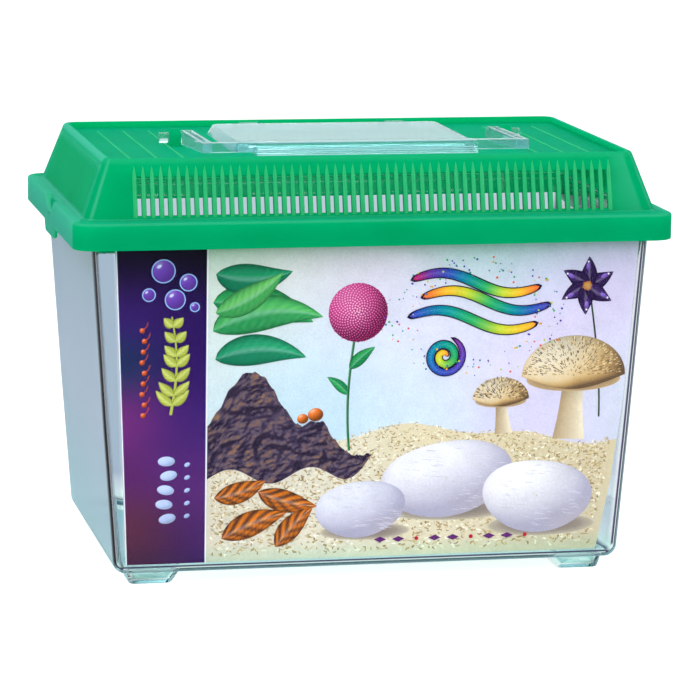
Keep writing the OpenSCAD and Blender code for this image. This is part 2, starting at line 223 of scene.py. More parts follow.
# ---- node helpers
class Nodes:
    """Adds nodes to an emptied shader tree. An output given to a socket is linked, other values are set."""

    def __init__(self, tree, end):
        tree.nodes.clear()
        self.tree = tree
        self.end = self.add(end)

    def put(self, socket, value):
        if isinstance(value, bpy.types.NodeSocket):
            self.tree.links.new(value, socket)
        else:
            socket.default_value = value

    def add(self, kind, inputs=(), **settings):
        n = self.tree.nodes.new("ShaderNode" + kind)
        for key, value in settings.items():
            setattr(n, key, value)
        for key, value in dict(inputs).items():
            self.put(n.inputs[key], value)
        return n

    def first(self, kind, inputs=(), **settings):
        """A new node's first output."""
        return self.add(kind, inputs, **settings).outputs[0]

    def math(self, operation, *values):
        return self.first("Math", enumerate(values), operation=operation)

    def times(self, value, *others):
        for other in others:
            value = self.math("MULTIPLY", value, other)
        return value

    def mix(self, k, a, b, blend="MIX"):
        """Mixes two colours, which are the node's sockets 6 and 7."""
        return self.add("Mix", {0: k, 6: a, 7: b}, data_type="RGBA", blend_type=blend).outputs[2]

    def mix_shaders(self, k, a, b):
        return self.first("MixShader", enumerate((k, a, b)))

    def remap(self, value, lo, hi, to_lo=0, to_hi=1):
        return self.first("MapRange", enumerate((value, lo, hi, to_lo, to_hi)))

    def ramp(self, fac, stops):
        n = self.add("ValToRGB", {"Fac": fac})
        els = n.color_ramp.elements
        while len(els) < len(stops):
            els.new(0.5)
        for e, stop in zip(els, stops):
            e.position, e.color = stop
        return n.outputs["Color"]

    def noise(self, scale, detail, rough, stretch=None):
        """A noise texture on the piece's own coordinates, in metres."""
        at = self.add("TexCoord").outputs["Object"]
        if stretch:
            at = self.first("Mapping", {"Vector": at, "Scale": stretch})
        return self.first("TexNoise", {"Vector": at, "Scale": scale, "Detail": detail, "Roughness": rough})

    def bump(self, height, strength, distance):
        return self.first("Bump", {"Height": height, "Strength": strength, "Distance": distance})

    def attribute(self, name, output):
        return self.add("Attribute", attribute_name=name).outputs[output]

    def rays(self, first, *others):
        """1 for rays of these kinds."""
        path = self.add("LightPath").outputs
        kind = path[first]
        for other in others:
            kind = self.math("MAXIMUM", kind, path[other])
        return kind

    def surface(self, skin):
        self.put(self.end.inputs["Surface"], skin)

    def let_through(self, skin, colour):
        """Ends the tree with a skin that lets lamps shine through it, tinted."""
        clear = self.first("BsdfTransparent", {"Color": colour})
        self.surface(self.mix_shaders(self.rays("Is Shadow Ray"), skin, clear))


def material(name):
    m = bpy.data.materials.new(name)
    m.use_nodes = True
    return m, Nodes(m.node_tree, "OutputMaterial")


def srgb(r, g, b):
    f = lambda c: c / 12.92 if c <= 0.04045 else ((c + 0.055) / 1.055) ** 2.4
    return (f(r / 255), f(g / 255), f(b / 255), 1)


# ---- materials
# Paler green for painted highlights and sheen on the lid's edges and ends
HIGHLIGHT_GREEN = srgb(112, 218, 204)
LOW_MILK, MID_MILK, TOP_MILK = (1.08, 1.4, 1.24, 1), (1.26, 1.18, 1.17, 1), (1, 1, 1, 1)
# Heights and depths on the tank, in metres
FRONT_WALL = (-0.0615, -0.055)
UNDER_LID = (0.1312, 0.1325)
FLANGE_LOW = (0.1318, 0.1325)
CARD_LEFT, CARD_LEFT_LEAN = (-0.0958, -0.095), 0.036
SKIN = (-0.001, 0.001)


def green_plastic(name, low, high):
    """Moulded green plastic, slightly cloudy, with a satin skin. A paler colour is mixed in by the edge attribute:
    painted highlights and sheen.
    """
    m, g = material(name)
    tone = g.ramp(g.noise(38, 3, 0.55), [(0.3, low), (0.7, high)])
    grain = g.noise(900, 2, 0.6)
    skin = g.first("BsdfPrincipled", {
        "Base Color": g.mix(g.attribute("edge", "Fac"), tone, HIGHLIGHT_GREEN),
        "Roughness": g.remap(grain, 0.3, 0.7, 0.4, 0.52), "Normal": g.bump(grain, 0.12, 0.0002),
        "IOR": 1.49, "Specular IOR Level": 0.004,
        "Sheen Weight": 0.24, "Sheen Roughness": 0.4, "Sheen Tint": (0.03, 0.5, 1, 1)})
    glow = g.first("BsdfTranslucent", {"Color": (0, 0.76, 0.44, 1)})
    g.let_through(g.mix_shaders(0.5, skin, glow), (0.04, 0.46, 0.27, 1))
    return m


def clear_plastic(name, tint, graze, low, absorb, density, cloudy, haze, rough, wobble, shine, walls=None):
    """Clear plastic that lets lamps through: tint face on, graze at a slant, low near the feet, walls on the tank."""
    m, g = material(name)
    place = g.add("TexCoord").outputs
    x, y, z = g.add("SeparateXYZ", {0: place["Object"]}).outputs
    slant = g.add("LayerWeight", {"Blend": 0.5}).outputs["Facing"]
    outward = g.add("VectorMath", {0: place["Object"], 1: place["Normal"]}, operation="DOT_PRODUCT").outputs["Value"]
    outer = g.remap(outward, *SKIN, 0.15, 1)
    foot = g.mix(g.remap(z, 0.004, 0.016), low, tint)
    # graze darkens the outer faces at a slant: partly the longer path through the plastic, partly painted shade for
    # the darker surroundings they reflect
    colour = g.mix(g.times(g.remap(slant, 0.45, 0.95), outer), foot, graze)
    gloss = (shine, shine, shine, 1)
    hazy = g.remap(slant, 0.5, 0.95, *haze)
    if walls:
        # The end walls' inner faces and the flange reflect fully
        end = g.remap(g.math("ABSOLUTE", g.first("SeparateXYZ", {0: place["Normal"]})), 0.5, 0.8)
        inner_end = g.times(end, g.remap(outward, *SKIN, 1, 0))
        gloss = g.mix(g.math("MAXIMUM", inner_end, g.remap(z, *FLANGE_LOW)), gloss, (0.9, 0.95, 1, 1))
        # The front wall and the flange are left clear
        below = g.remap(z, *UNDER_LID, 1, 0)
        hazy = g.times(hazy, below, outer)
        # Painted shade: walls tints the side and back walls darker blue-grey, for the darker surroundings they
        # reflect
        side = g.times(g.remap(y, *FRONT_WALL), g.remap(z, 0.01, 0.018), below, g.remap(inner_end, 0, 1, 1, 0.55))
        colour = g.mix(side, colour, walls, "MULTIPLY")
        # Painted shade: the front wall left of the card is painted a little darker
        across = g.math("MULTIPLY_ADD", z, CARD_LEFT_LEAN, x)
        painted_strip_shade = g.times(g.remap(y, *FRONT_WALL, 1, 0), g.remap(across, *CARD_LEFT, 1, 0))
        colour = g.mix(painted_strip_shade, colour, (0.78, 0.83, 0.86, 1), "MULTIPLY")
        # Painted shade: the edge attribute darkens the tank's corners and bottom edge nearly to black
        colour = g.mix(g.attribute("edge", "Fac"), colour, (0.004, 0.004, 0.02, 1))
    clear = g.first("BsdfPrincipled", {
        "Base Color": colour, "Transmission Weight": 1, "IOR": 1.5, "Specular Tint": gloss, "Roughness": rough,
        "Normal": g.bump(g.noise(55, 2, 0.5), wobble, 0.0008)})
    # Painted light in the haze: greenish at the foot, brightest half-way up, and darker and bluer under the rim as
    # painted shade from the lid
    milk = g.ramp(g.remap(z, 0.012, 0.135), [
        (at, tuple(c * k for c, k in zip(cloudy, shade)))
        for at, shade in ((0, LOW_MILK), (0.45, MID_MILK), (1, TOP_MILK))])
    veil = g.mix_shaders(0.5, g.first("BsdfDiffuse", {"Color": milk}), g.first("BsdfTranslucent", {"Color": milk}))
    g.let_through(g.mix_shaders(hazy, clear, veil), tuple(0.5 + 0.5 * c for c in tint[:3]) + (1,))
    g.put(g.end.inputs["Volume"], g.first("VolumeAbsorption", {"Color": absorb, "Density": density}))
    return m


def card_board():
    """Uncoated pale board, for the card's back and edges."""
    m, g = material("card_board")
    fibre = g.noise(420, 4, 0.6, (1, 1, 3))
    tone = g.ramp(fibre, [(0.3, srgb(222, 224, 226)), (0.7, srgb(240, 240, 238))])
    g.surface(g.first("BsdfPrincipled", {"Base Color": tone, "Normal": g.bump(fibre, 0.2, 0.0001), "Roughness": 0.7}))
    return m


def printed_face():
    """Ink on smooth stock: the printed colour with a little grain and a soft gloss."""
    m, g = material("printed_face")
    grain, cloud = g.noise(1400, 3, 0.6), g.noise(120, 4, 0.6)
    level = g.math("ADD", g.remap(grain, 0.25, 0.75, 0.9, 1.07), g.remap(cloud, 0.25, 0.75, -0.06, 0.06))
    tone = g.first("VectorMath", {0: g.attribute("ink", "Color"), "Scale": level}, operation="SCALE")
    g.surface(g.first("BsdfPrincipled", {
        "Base Color": tone, "Roughness": g.remap(cloud, 0.3, 0.7, 0.32, 0.42), "Specular IOR Level": 0.02,
        "Normal": g.bump(grain, 0.05, 0.00005)}))
    return m


GREEN = green_plastic("green_plastic", srgb(0, 163, 109), srgb(0, 174, 121))
# A paler copy of the green: painted highlight for the bars and ribs
HIGHLIT_GREEN = green_plastic("green_plastic_highlit", srgb(62, 200, 138), srgb(82, 210, 152))
CLEAR = clear_plastic(
    "clear_tank", tint=(0.97, 0.985, 1, 1), graze=(0.58, 0.64, 0.74, 1), low=(0.68, 0.93, 0.88, 1),
    absorb=(0.6, 0.7, 0.84, 1), density=20, cloudy=(0.36, 0.49, 0.64, 1), haze=(0, 0.8),
    rough=0.03, wobble=0.05, shine=0.06, walls=(0.53, 0.62, 0.71, 1))
TRIM = clear_plastic(
    "clear_trim", tint=(0.66, 0.88, 0.9, 1), graze=(0.56, 0.82, 0.86, 1), low=(0.66, 0.88, 0.9, 1),
    absorb=(0.62, 0.82, 0.8, 1), density=76, cloudy=(0.34, 0.66, 0.7, 1), haze=(0.12, 0.38),
    rough=0.06, wobble=0.08, shine=0.16)
BOARD = card_board()


# ---- lid
# Rows of the lid's skin, from under the rim up over the roof and back down inside
RIM_EDGE, ROOT, OUT_LOW, OUT_HIGH, ROOF_EDGE, IN_HIGH, IN_LOW = 8, 15, 19, 20, 24, 40, 41


def slot_edges(count):
    return [(i - (count - 1) / 2) * SLOT_P + side * SLOT_W / 2 for i in range(count) for side in (-1, 1)]


def scoop_cut(y):
    """How far the thumb scoop drops the ledge at y."""
    return max(0, sqrt(max(0, SCOOP_R ** 2 - y * y)) - (SCOOP_R - SCOOP_DEEP))


def tongue_fall(y):
    """How far the latch tongue hangs under the rim at y."""
    return min(TONGUE_DROP, max(0, TONGUE_DROP * (TONGUE_END - abs(y)) / (TONGUE_END - TONGUE_FLAT)))


def painted_highlight(row, col, starts, n, ny):
    """Painted highlights and sheen: the rim, the roof's corners and the borders of the ends are painted paler, and
    the end faces paler still.
    """
    end = any(s <= col < s + ny for s in starts[1::2])
    corner = any((s - col) % n == 4 for s in starts)
    if 2 < row < RIM_EDGE and end:
        return 0.46
    if RIM_EDGE <= row <= RIM_EDGE + 1:
        return 0.5 if end else 0.22
    if RIM_EDGE + 1 < row < ROOT:
        return 0.42 if end else 0.05
    if ROOT < row < ROOF_EDGE and col == starts[1] - 8:
        return 0.2
    if ROOT <= row <= ROOT + 1:
        return 0.5 if end or corner else 0.12
    if ROOT + 1 < row < ROOF_EDGE and corner:
        return 0.42 if row in (OUT_LOW, OUT_HIGH) else 0.3
    if ROOF_EDGE - 1 <= row <= ROOF_EDGE + 2:
        return 0.55 if end else 0.2 if corner else 0.08
    if end and OUT_LOW - 1 <= row <= OUT_HIGH + 1:
        return 0.13 if OUT_LOW <= row <= OUT_HIGH else 0.4
    return 0


def lid_shell():
    seg = 8
    xs, ys = slot_edges(SIDE_SLOTS), slot_edges(END_SLOTS)
    ys = [-PANEL_Y - 0.3, -PANEL_Y + 0.3, *ys, PANEL_Y - 0.3, PANEL_Y + 0.3]
    nx, ny = len(xs) + 2, len(ys) + 2
    # Where the front, the right end, the back and the left end start in a ring
    starts = [0, nx + seg - 1, nx + ny + 2 * seg - 2, 2 * nx + ny + 3 * seg - 3]

    def rim(off, z):
        return ring(RIM_L - 2 * off, RIM_W - 2 * off, RIM_R - off, z, xs, ys, seg)

    def roof(z, off):
        t = (z - LEDGE_Z) / ROOF_H
        return ring(ROOF_L - 2 * END_LEAN * t - 2 * off, ROOF_W - 2 * SIDE_LEAN * t - 2 * off,
                    ROOF_R - (ROOF_R - TOP_R) * t - off, z, xs, ys, seg)

    def inner(z):
        t = (z - (LEDGE_Z - WALL)) / (CEIL_Z - (LEDGE_Z - WALL))
        l0, w0 = ROOF_L - 2 * WALL, ROOF_W - 2 * WALL
        return ring(l0 + (CEIL_L - l0) * t, w0 + (CEIL_W - w0) * t, 5.2 - 1.5 * t, z, xs, ys, seg)

    def mouth(z, grow):
        hx, hy = OPEN_L / 2 + grow, OPEN_W / 2 + grow
        sx, sy = ((h - 0.85 - grow) / max(v) for h, v in ((hx, xs), (hy, ys)))
        return ring(2 * hx, 2 * hy, 0.8 + grow, z, [x * sx for x in xs], [y * sy for y in ys], seg, HATCH_Y)

    def ends(points, move):
        """Moves the points of the two short sides by move(x, y, z)."""
        out = list(points)
        for start in starts[1::2]:
            for k in range(start, start + ny):
                out[k] = move(*points[k])
        return out

    hang = lambda x, y, z: (x, y, z - tongue_fall(y))
    dip = lambda x, y, z: (x, y, z - scoop_cut(y))
    sink = lambda x, y, z: (x - copysign(PANEL_IN, x) if abs(y) <= PANEL_Y else x, y, z)

    rows = [rim(1.8, 133.2)]
    rows += [ends(rim(*at), hang) for at in ((1.8, 132.1), (1.4, 131.6), (0.5, 131.6), (0.14, 131.74), (0, 132.1))]
    rows += [rim(0, 136.2)]
    rows += [ends(rim(*at), dip) for at in (
        (0, 140.7), (0.16, 141.25), (0.55, 141.68), (1.1, 141.86), (1.7, LEDGE_Z), (SCOOP_IN, LEDGE_Z))]
    rows += [rim(SCOOP_IN + 0.05, LEDGE_Z)]
    rows += [roof(*at) for at in (
        (142, -1.1), (142.12, -0.35), (142.45, -0.02), (PANEL_Z0 - 0.2, 0), (PANEL_Z0 + 0.2, 0), (SLOT_Z0, 0),
        (SLOT_Z1, 0), (PANEL_Z1 - 0.25, 0), (PANEL_Z1 + 0.25, 0), (163.3, 0), (163.85, 0.12), (164.18, 0.42),
        (ROOF_Z, 0.9), (ROOF_Z, LIP_W - 0.45), (ROOF_Z - 0.12, LIP_W - 0.12), (ROOF_Z - 0.45, LIP_W),
        (FIELD_Z + 0.6, LIP_W - 0.55), (FIELD_Z + 0.16, LIP_W - 0.4), (FIELD_Z, LIP_W + 0.1), (FIELD_Z, LIP_W + 0.7))]
    rows += [mouth(*at) for at in (
        (FIELD_Z, 2.6), (FIELD_Z, 0.3), (FIELD_Z - 0.3, 0), (CEIL_Z + 0.2, 0), (CEIL_Z, 0.2))]
    rows += [inner(z) for z in (CEIL_Z, SLOT_Z1, SLOT_Z0, LEDGE_Z - WALL)]
    rows += [rim(WALL + 0.4, LEDGE_Z - WALL), rim(WALL, LEDGE_Z - WALL - 0.4)]
    # Recessed panels in the roof's two ends
    for i in range(OUT_LOW - 1, OUT_HIGH + 2):
        rows[i] = ends(rows[i], sink)

    n = len(rows[0])
    kinds = ((SIDE_SLOTS, 1), (END_SLOTS, 3)) * 2
    cols = {start + first + 2 * s for start, (count, first) in zip(starts, kinds) for s in range(count)}
    verts, faces = loft(rows, True, lambda i, j: j in cols and i in (OUT_LOW, IN_HIGH))
    ol, oh, ih, il = (k * n for k in (OUT_LOW, OUT_HIGH, IN_HIGH, IN_LOW))
    for j in cols:
        k = j + 1
        faces += [(ol + j, ol + k, il + k, il + j), (oh + j, ih + j, ih + k, oh + k),
                  (ol + j, il + j, ih + j, oh + j), (ol + k, oh + k, ih + k, il + k)]
    shell = make("lid_shell", verts, faces, [GREEN], 32)
    # Painted highlights and sheen on the lid's rim, roof corners and ends
    return store_painted_light(shell, [painted_highlight(i // n, i % n, starts, n, ny) for i in range(len(verts))])


def slope(half, lean):
    """A roof side's distance from the middle at a height, and that height, raised along its normal."""
    a = atan2(lean, ROOF_H)
    return lambda z, out: (half - lean * ((z - LEDGE_Z) / ROOF_H) + out * cos(a), z + out * sin(a))


def lid_bars():
    """The raised bars between the air slots, tapering to points above them."""
    levels = [(142.75, 0.8, 0.3, 0.1), (143.3, 0.8, 0.42, 0.4), (150, 0.8, 0.42, 0.42), (157.6, 0.76, 0.4, 0.42),
              (159.2, 0.56, 0.26, 0.34), (160.6, 0.3, 0.12, 0.2), (161.7, 0.06, 0.03, 0.03)]
    sides = (SIDE_SLOTS, slope(ROOF_W / 2, SIDE_LEAN), 0), (END_SLOTS, slope(ROOF_L / 2, END_LEAN), PANEL_IN)
    b, kinds, end_sheen = Builder(), [], []
    for side in range(4):
        at_end = side % 2
        count, surface, sink = sides[at_end]
        for i in range(count + 1):
            rings = []
            for z, base, top, high in levels:
                half = [(-base, -0.3), (-base, -0.02), (-top, high), (-0.3 * top, 0.45 * high)]
                rings.append([])
                for dx, up in half + [(-dx, up) for dx, up in half[::-1]]:
                    x = (i - count / 2) * SLOT_P + dx
                    d, zz = surface(z, up - sink)
                    rings[-1].append((*((x, -d), (d, x), (-x, d), (-d, -x))[side], zz))
            verts, faces = loft(rings, caps=True)
            b.add(verts, faces)
            kinds += [at_end] * len(faces)
            # The end bars get a little painted sheen, like the end panels
            end_sheen += [0.14 * at_end] * len(verts)
    # The front and back bars take the paler green, a painted highlight
    return store_painted_light(make("lid_bars", b.verts, b.faces, [HIGHLIT_GREEN, GREEN], 30, kinds), end_sheen)


def lid_details():
    """Ears for the handle and lugs for the hatch."""
    b = Builder()
    for sx in (-1, 1):
        x0, x1 = sorted((sx * 64.3, sx * 68.7))
        b.prism(arch(3.6, PIVOT_Z - FIELD_Z + 0.2), along_x(0, PIVOT_Z), x0, x1)
    for hx in (-HINGE_X, HINGE_X):
        for sl in (-1, 1):
            c = hx + sl * (3.7 + 0.5 + 1.1)
            b.prism(arch(1.9, HINGE_Z - FIELD_Z + 0.2), along_x(HINGE_Y, HINGE_Z), c - 1.1, c + 1.1)
    return b.make("lid_details", [GREEN], 30)


def lid_ribs():
    """Fine ribs on the flat top."""
    b = Builder()
    outline = [(-0.4, -0.2), (0.4, -0.2), (0.4, 0), (0.18, 0.34), (-0.18, 0.34), (-0.4, 0)]
    for sx in (-1, 1):
        for i in range(3):
            x = sx * (RIB_X + i * RIB_P)
            b.prism(outline, lambda u, v, t: (x + u, t, FIELD_Z + v), RIB_Y0, RIB_Y1)
    # The ribs' paler green is a painted highlight
    return b.make("lid_ribs", [HIGHLIT_GREEN], 30)


SHELL = lid_shell()
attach(SHELL, "cover")
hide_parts("lid")
BARS = lid_bars()
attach(BARS, "cover")
DETAILS = lid_details()
bevel(DETAILS, 0.25)
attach(DETAILS, "cover")
RIBS = lid_ribs()
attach(RIBS, "cover")


# ---- tank
def tank_body():
    seg, h = 8, TANK_H
    quarter = [(sin(pi / 2 * k / 6), cos(pi / 2 * k / 6)) for k in range(7)]

    def flat(l, w, z):
        return ring(l, w, 0, z, seg=seg)

    def round_edge(l, w, r, z, s, c):
        return ring(l - 2 * r * (1 - s), w - 2 * r * (1 - s), r * s, z + r - r * c, seg=seg)

    def wall(z, off=0):
        t = (z - TANK_FOOT) / (h - TANK_FOOT)
        return ring(BASE_L + GROW_L * t - 2 * off, BASE_W + GROW_W * t - 2 * off, 5 - off, z, seg=seg)

    def flange(off, r, z):
        return ring(FLANGE_L - off, FLANGE_W - off, r, z, seg=seg)

    floor_z = TANK_FOOT + TANK_FLOOR
    rows = [flat(20, 10, TANK_FOOT), flat(187.4, 117.8, TANK_FOOT)]
    rows += [round_edge(BASE_L, BASE_W, 5, TANK_FOOT, s, c) for s, c in quarter]
    rows += [wall(60), wall(h - 2.6), wall(h - 2.2, -0.3)]
    rows += [flange(*at) for at in ((3.2, 4.1, h - 2.2), (3.2, 4.1, h - 7.2), (0.4, 5.6, h - 7.2), (0, 5.7, h - 6.9),
                                    (0, 5.7, h - 0.4), (0.8, 5.3, h))]
    rows += [wall(h, TANK_WALL - 0.3), wall(h - 0.3, TANK_WALL), wall(60, TANK_WALL)]
    rows += [round_edge(BASE_L - 2 * TANK_WALL, BASE_W - 2 * TANK_WALL, 3, floor_z, c, s) for s, c in quarter]
    rows += [flat(181.6, 112, floor_z), flat(20, 10, floor_z)]
    return make("tank_shell", *loft(rows, caps=True), [CLEAR], 40)


# Height of a level, then what is taken off the foot's inner and outer side in x, and in y
FOOT = ((0, 3.7, 2.1, 3, 1.5), (0.12, 3.3, 1.7, 2.6, 1.1), (0.5, 2.9, 1.3, 2.2, 0.7), (4.9, 0, 0, 0, 0),
        (6, 0, 0, 0, 0))
FOOT_HOLLOW = ((1.7, 4.3, 3.1, 3.8, 2.7), (2.2, 3.6, 2.5, 3.1, 2.1), (4.9, 1.7, 1.6, 1.7, 1.6),
               (7.9, 0.9, 1.2, 0.9, 1.2))


def foot(sx, sy, levels):
    """A foot, or its hollow, that leans in more on its inner sides."""
    rows = []
    for z, in_x, out_x, in_y, out_y in levels:
        x0, x1, y0, y1 = FOOT_X0 + in_x, FOOT_X1 - out_x, FOOT_Y0 + in_y, FOOT_Y1 - out_y
        rows.append([(sx * (x0 + x1) / 2 + x, sy * (y0 + y1) / 2 + y, zz)
                     for x, y, zz in ring(x1 - x0, y1 - y0, 2.2, z, seg=5)])
    return make("foot_tmp", *loft(rows, caps=True), [CLEAR], 40)


def painted_corner_shade(x, y, z):
    """Painted shade on the clear wall: how dark its outer corners and bottom edge are painted."""
    t = (z - TANK_FOOT) / (TANK_H - TANK_FOOT)
    dx, dy = abs(x) - (BASE_L + GROW_L * t) / 2 + 5, abs(y) - (BASE_W + GROW_W * t) / 2 + 5
    if z > 9.8:
        if z > 137.5 or min(dx, dy) < 0.05 or hypot(dx, dy) < 4.2:
            return 0
        turn = degrees(atan2(dy, dx))
        return max(0, min(1, turn / 6, (54 - turn) / 12))
    if z < 4.7:
        return 0.75 if abs(x) > 90.4 and abs(y) > 55.8 else 0
    inside = abs(x) < 93 and abs(y) < 58
    return 0 if inside or z > 6.9 or z < 5 else min(1, (6.9 - z) / 0.9)


TANK = tank_body()
CORNERS = [(sx, sy) for sx in (-1, 1) for sy in (-1, 1)]
union(TANK, [foot(*c, FOOT) for c in CORNERS], 40)
union(TANK, [foot(*c, FOOT_HOLLOW) for c in CORNERS], 40, "DIFFERENCE")
# Painted shade at the tank's corners and bottom edge
store_painted_light(TANK, [painted_corner_shade(*(c / MM for c in v.co)) for v in TANK.data.vertices])
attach(TANK, "base")
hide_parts("tank")

card = frame["nodes"]["label_card"]
card.data.materials.clear()
card.data.materials.append(BOARD)


# ---- printed card
CARD_Y, CARD_Z, CARD_H = -62.4, 8.942, 122.458
CARD_LEAN = atan(3.4 / 134.9)
BAND_U = -64.2
GOLDEN = pi * (3 - sqrt(5))
DEEP, FRESH = (0, 92, 58), (70, 190, 96)
noise3 = noise.noise


def card_left(v):
    return -94.9 - 4.4 * v / CARD_H


def card_right(v):
    """The right edge bows out between its corners."""
    knots = [(0, 90.1), (26.94, 95.39), (57.56, 99.28), (79.6, 101.15), (107.76, 102.94), (CARD_H + 1, 104.2)]
    for (v0, u0), (v1, u1) in zip(knots, knots[1:]):
        if v <= v1:
            return u0 + (u1 - u0) * (v - v0) / (v1 - v0)
    return knots[-1][1]


def always(value):
    """Makes a fixed value a function. A function stays as it is."""
    return value if callable(value) else lambda *a: value


def blend(a, b, k):
    k = min(max(k, 0), 1)
    return tuple(x + (y - x) * k for x, y in zip(a, b))


def shade(c, k):
    """Darkens a colour for k below 1 and lightens it towards white above 1."""
    return tuple(x * k for x in c) if k <= 1 else blend(c, (255, 255, 255), k - 1)


def through(stops, t):
    """A colour along a list of colours."""
    t = min(max(t, 0), 1) * (len(stops) - 1)
    i = min(int(t), len(stops) - 2)
    return blend(stops[i], stops[i + 1], t - i)


class Ink:
    """Thin coloured faces on the card, u along it and v up it. What is drawn after up() lies above the rest."""

    def __init__(self, seed):
        self.verts, self.faces, self.cols = [], [], []
        self.level = 0
        self.rnd = Random(seed)

    def up(self):
        self.level += 1

    def skin(self, rows, colour, wrap=False):
        """rows of (u, v) points; colour(i, j, u, v) gives each point's colour."""
        base, w = len(self.verts), len(rows[0])
        for i, row in enumerate(rows):
            for j, (u, v) in enumerate(row):
                self.verts.append((u, v, 0.02 + 0.004 * self.level))
                self.cols.append(colour(i, j, u, v))
        for i in range(len(rows) - 1):
            for j in range(w if wrap else w - 1):
                k = (j + 1) % w
                a = base + i * w
                self.faces.append((a + j, a + k, a + w + k, a + w + j))
        return self

    def blob(self, cu, cv, ru, rv, colour, turn=0, rings=5, seg=22, edge=1):
        """A rounded shape. colour(x, y, z, angle) shades it by a dome's normal; edge(angle) varies its outline."""
        ca, sa = cos(turn), sin(turn)
        colour, edge = always(colour), always(edge)
        rows, cells = [], []
        for i in range(rings + 1):
            s = max(sin(pi / 2 * i / rings), 0.02)
            row, cell = [], []
            for j in range(seg):
                a = 2 * pi * j / seg
                k = s * edge(a)
                x, y = ru * k * cos(a), rv * k * sin(a)
                row.append((cu + x * ca - y * sa, cv + x * sa + y * ca))
                nx, ny = s * cos(a + turn), s * sin(a + turn)
                cell.append(colour(nx, ny, sqrt(max(0, 1 - s * s)), a))
            rows.append(row)
            cells.append(cell)
        return self.skin(rows[::-1], lambda i, j, u, v: cells[rings - i][j], True)

    def dot(self, u, v, r, c, seg=10):
        return self.blob(u, v, r, r, c, rings=1, seg=seg)

    def ribbon(self, path, width, colour, across=4):
        """A stroke along a path. width(t) is half its width; colour(t, side), side from -1 to 1."""
        width, colour = always(width), always(colour)
        rows, n = [], len(path)
        for i, (u, v) in enumerate(path):
            a, b = path[max(i - 1, 0)], path[min(i + 1, n - 1)]
            du, dv = b[0] - a[0], b[1] - a[1]
            d = hypot(du, dv) or 1
            w = width(i / (n - 1))
            sides = [2 * j / across - 1 for j in range(across + 1)]
            rows.append([(u - dv / d * w * s, v + du / d * w * s) for s in sides])
        return self.skin(rows, lambda i, j, u, v: colour(i / (n - 1), 2 * j / across - 1))

    def leaf(self, u, v, angle, length, width, dark, light, bend=0, veins=9, point=0.75, band=0.22):
        """A leaf from its base, with a midrib, slanting veins and one side in the light."""
        path, a, n = [(u, v)], radians(angle), 22
        for i in range(n):
            u += length / n * cos(a)
            v += length / n * sin(a)
            a += radians(bend) / n
            path.append((u, v))

        def tint(t, s):
            vein = 0.5 + 0.5 * cos(2 * pi * (t * veins - abs(s) * 1.3))
            side = (0.57 - 0.55 * band) * (s > 0) * (1 - abs(s))
            c = blend(dark, light, 0.3 * (1 - band) + side + band * vein + 0.15 * t)
            return shade(c, 1.28) if abs(s) < 0.01 else shade(c, 1 - 0.35 * abs(s) ** 6)

        return self.ribbon(path, lambda t: width * sin(pi * t ** point) ** 0.9 + 0.04, tint, 8)

    def make(self, name, mats):
        ca, sa = cos(CARD_LEAN), sin(CARD_LEAN)
        pts = [(u, CARD_Y - v * sa - w * ca, CARD_Z + v * ca - w * sa) for u, v, w in self.verts]
        ob = make(name, pts, self.faces, mats, 0)
        at = ob.data.color_attributes.new("ink", "FLOAT_COLOR", "POINT")
        flat = [x for c in self.cols for x in srgb(*[min(max(k, 0), 255) for k in c])]
        at.data.foreach_set("color", flat)
        return ob


LIGHT_DIR = Vector((-0.45, 0.62, 0.64))


def lit(x, y, z):
    return max(0, Vector((x, y, z)).dot(LIGHT_DIR))


def steps(n):
    return [i / n for i in range(n + 1)]


def dome(base, dark=0.45, gloss=0):
    """Shades a shape like a rounded thing in soft light from the upper left."""
    def colour(x, y, z, a):
        k = lit(x, y, z)
        return shade(base, dark + (1.12 - dark) * k + gloss * max(0, k - 0.86) * 5)
    return colour


def seeds(n):
    """Evenly spread points in a unit circle: distance from its middle, x and y."""
    for k in range(n):
        s = sqrt((k + 0.5) / n)
        yield s, s * cos(k * GOLDEN), s * sin(k * GOLDEN)


def soft_spots(spots, u, v):
    """A smooth mix of colours around given points."""
    total, mix = 0, [0, 0, 0]
    for su, sv, size, c in spots:
        w = exp(-((u - su) ** 2 + (v - sv) ** 2) / (2 * size * size)) + 1e-6
        total += w
        for k in range(3):
            mix[k] += w * c[k]
    return tuple(m / total for m in mix)


def wash(ink, n_v, n_u, spots, left, right, top=lambda t: CARD_H):
    """Fills the card between two edges and up to a top with a soft mix of colours."""
    rows = []
    for i in range(n_v + 1):
        levels = [(j, top(j / n_u) * (i / n_v)) for j in range(n_u + 1)]
        rows.append([(left(v) + (right(v) - left(v)) * j / n_u, v) for j, v in levels])
    ink.skin(rows, lambda i, j, u, v: soft_spots(spots, u, v)).up()


def ground_v(u):
    return 47 + 3.5 * sin(u * 0.045 + 0.8) + 1.6 * sin(u * 0.13)


